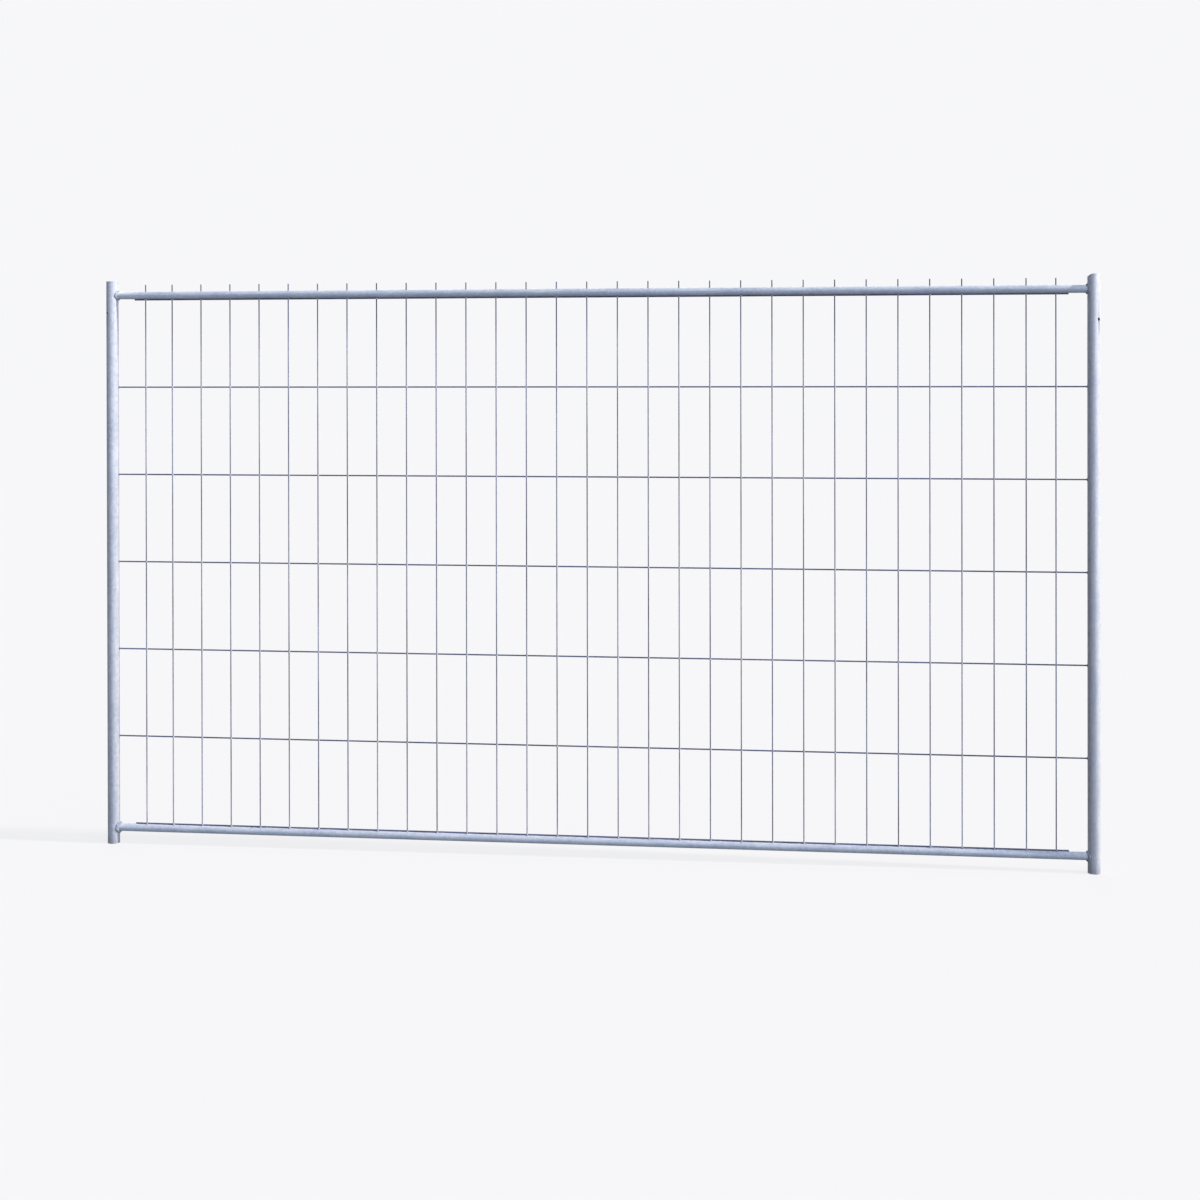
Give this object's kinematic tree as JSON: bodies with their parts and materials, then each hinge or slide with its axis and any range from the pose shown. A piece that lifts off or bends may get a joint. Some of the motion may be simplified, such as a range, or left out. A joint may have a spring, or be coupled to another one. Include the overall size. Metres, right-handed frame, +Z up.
{
  "type": "temporary fence panel",
  "caption": "Free-standing site fence panel: a welded frame of round galvanised steel tubes filled with a mesh of round wires.",
  "frame": {"origin": "centre of the left post's flat foot", "axes": "+X along the panel to the right post, +Y away from the side seen first, +Z up"},
  "size_m": [3.45, 0.0424, 2],
  "materials": {
    "post_steel": "hot-dip galvanised, dull spangle",
    "rail_steel": "hot-dip galvanised, dull spangle",
    "mesh_wire": "galvanised drawn wire",
    "weld_metal": "weld bead under zinc, darker and rougher"
  },
  "bodies": {
    "root": {"left_post": "post_steel", "right_post": "post_steel", "top_rail": "rail_steel", "bottom_rail": "rail_steel", "wire_mesh": "mesh_wire", "left_welds": "weld_metal", "right_welds": "weld_metal"}
  },
  "joints": []
}
